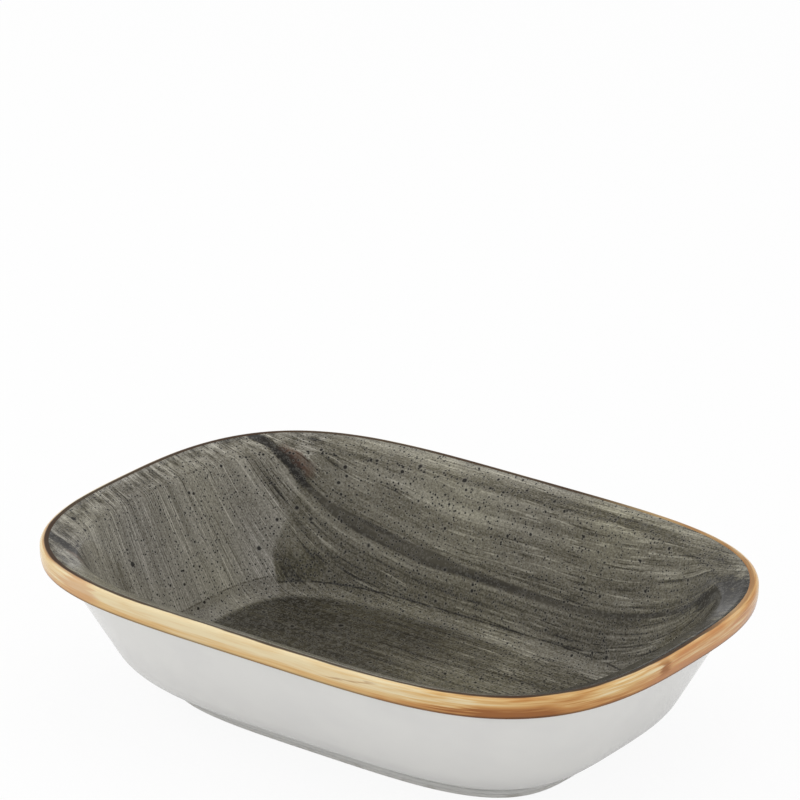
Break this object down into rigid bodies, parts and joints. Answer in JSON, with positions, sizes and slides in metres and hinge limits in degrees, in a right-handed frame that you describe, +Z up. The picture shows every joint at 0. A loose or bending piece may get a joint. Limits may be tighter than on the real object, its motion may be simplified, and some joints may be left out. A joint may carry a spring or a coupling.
{
  "type": "rectangular bowl",
  "caption": "Deep rectangular serving bowl with round corners, a rolled amber lip, a brushed grey inside, white glazed walls and a foot ring.",
  "frame": {"origin": "middle of the foot ring's bottom, on the table that the bowl stands on", "axes": "+X along the bowl's length, +Y across its width, +Z up out of its mouth"},
  "size_m": [0.2, 0.1406, 0.0476],
  "materials": {
    "porcelain": "bare vitrified porcelain, ground smooth on the foot ring's bottom",
    "white_glaze": "glossy white glaze, fired smooth",
    "amber_glaze": "glossy amber glaze, cream where it is thick and orange brown where it runs thin",
    "grey_glaze": "glossy smoky grey glaze brushed along the length, with fine light and dark streaks and black specks"
  },
  "bodies": {
    "root": {"porcelain_body": "porcelain", "underside_glaze": "white_glaze", "outside_glaze": "white_glaze", "rim_glaze": "amber_glaze", "inside_glaze": "grey_glaze"}
  },
  "joints": []
}
